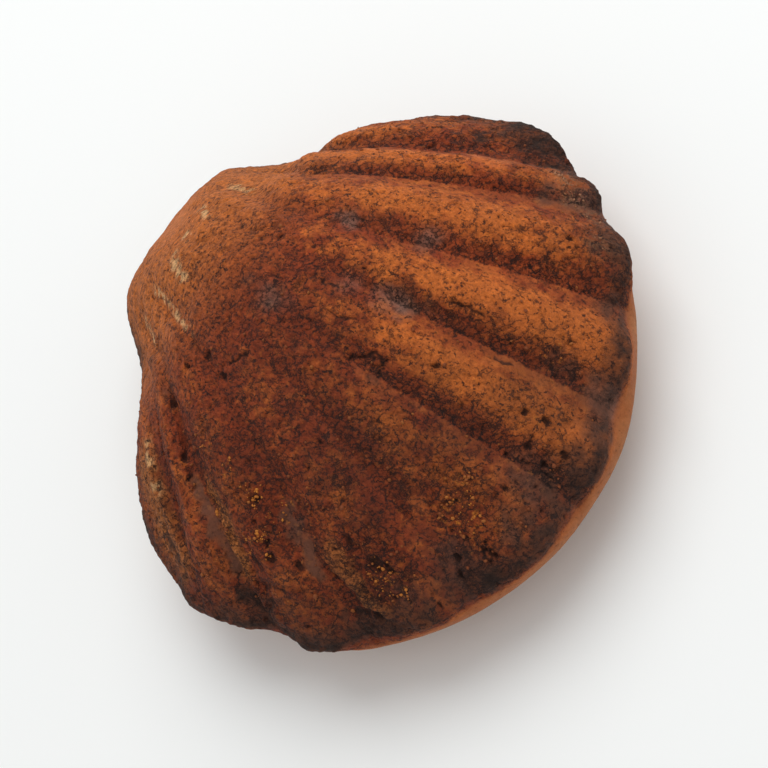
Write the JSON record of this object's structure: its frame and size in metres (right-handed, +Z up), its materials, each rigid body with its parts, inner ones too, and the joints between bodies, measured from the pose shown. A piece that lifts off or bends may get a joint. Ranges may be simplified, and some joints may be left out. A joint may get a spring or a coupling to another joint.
{
  "type": "butter mochi cake",
  "caption": "Single shell-moulded butter mochi cake: ribbed brown dome fanning from a small knob to a scalloped margin, with a soft smooth underside it lies on.",
  "frame": {"origin": "on the table, under the middle of the cake's bounding box", "axes": "+Z up through the ribbed side, +X from the hinge knob to the scalloped margin, +Y to the left when looking along +X"},
  "size_m": [0.0762, 0.0768, 0.0351],
  "materials": {
    "baked_cake": "matte cocoa-brown baked crust, slightly satin in the grooves"
  },
  "bodies": {
    "root": {"cake": "baked_cake"}
  },
  "joints": []
}
